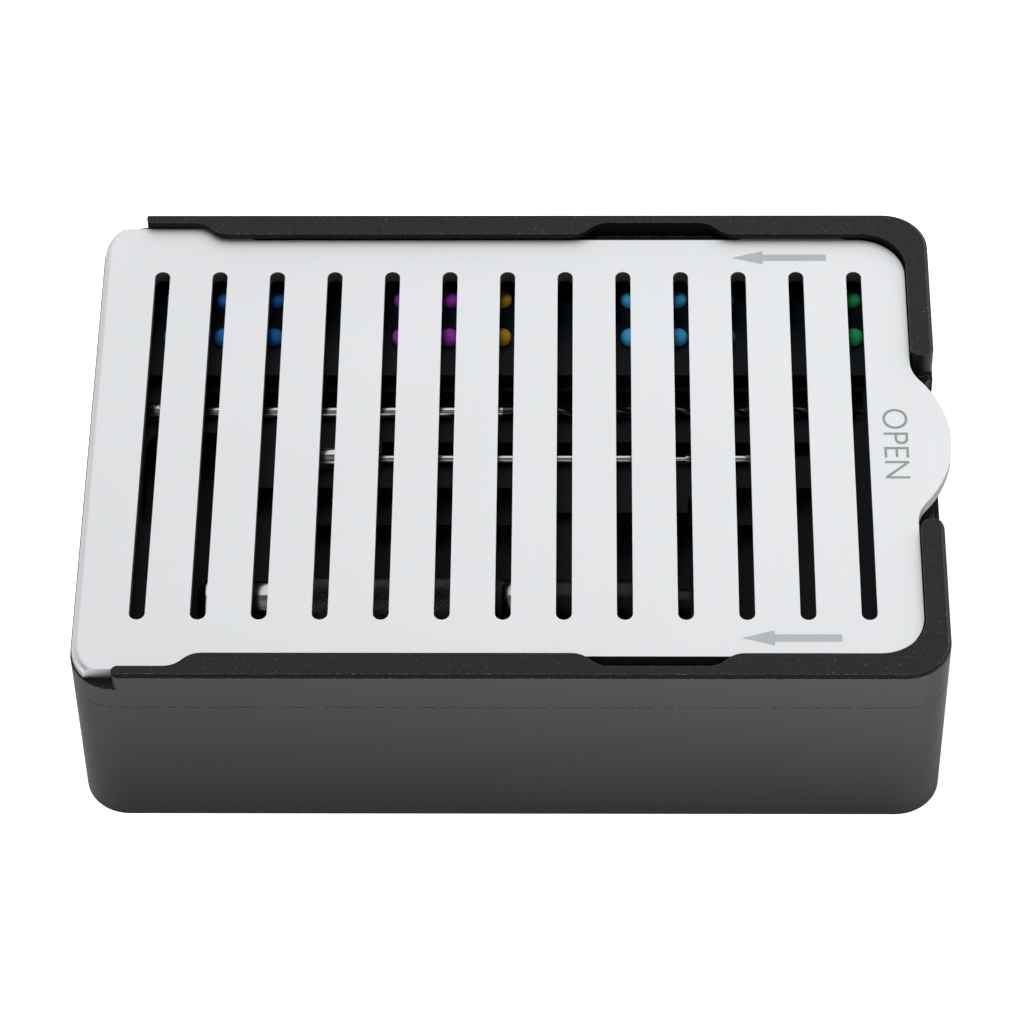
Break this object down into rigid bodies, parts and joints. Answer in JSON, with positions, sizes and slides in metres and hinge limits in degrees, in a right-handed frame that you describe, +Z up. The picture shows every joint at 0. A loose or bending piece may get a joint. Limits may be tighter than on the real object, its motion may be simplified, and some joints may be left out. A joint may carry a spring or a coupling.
{
  "type": "instrument sterilization tray",
  "caption": "Rounded black metal case with a slotted silver lid that slides out from under notched side lips, holding a rack of small anchors, two rods and a handle.",
  "frame": {"origin": "middle of the flat underside of the case, leaving out the thumb tab of the lid", "axes": "+X towards the lid's thumb tab, against the slide of the lid; +Y from the front wall to the back wall; +Z up"},
  "size_m": [0.1522, 0.106, 0.04],
  "materials": {
    "black_anodised": "fine matt black anodised",
    "silver_anodised": "bead-blasted, clear anodised",
    "black_plastic": "milled, matt",
    "steel": "turned and polished",
    "knurled_steel": "dark, cross knurled",
    "polished_steel": "mirror polished",
    "dark_ring": "smooth, matt",
    "screw_steel": "plain",
    "blue": "colour anodised",
    "purple": "colour anodised",
    "gold": "colour anodised",
    "light_blue": "colour anodised",
    "green": "colour anodised"
  },
  "bodies": {
    "case": {"tray_body": "black_anodised", "upper_frame": "black_anodised", "frame_screws": "screw_steel", "instrument_block": "black_plastic", "block_screws": "screw_steel", "anchor_rack": "black_plastic", "rack_screws": "screw_steel", "blue_anchors": "blue", "purple_anchors": "purple", "gold_anchors": "gold", "light_blue_anchors": "light_blue", "green_anchors": "green", "drill_coupling": "steel", "drill_bit": "steel", "inserter_coupling": "steel", "inserter_shaft": "steel", "inserter_sleeve": "steel", "inserter_tip": "knurled_steel", "handle_cap": "polished_steel", "handle_grip": "knurled_steel", "handle_ring": "dark_ring", "handle_sleeve": "polished_steel"},
    "lid": {"sliding_lid": "silver_anodised"}
  },
  "joints": [
    {"name": "lid_slide", "type": "slide", "parent": "case", "child": "lid", "axis": [-1, 0, 0], "range_m": [0, 0.0252]}
  ]
}
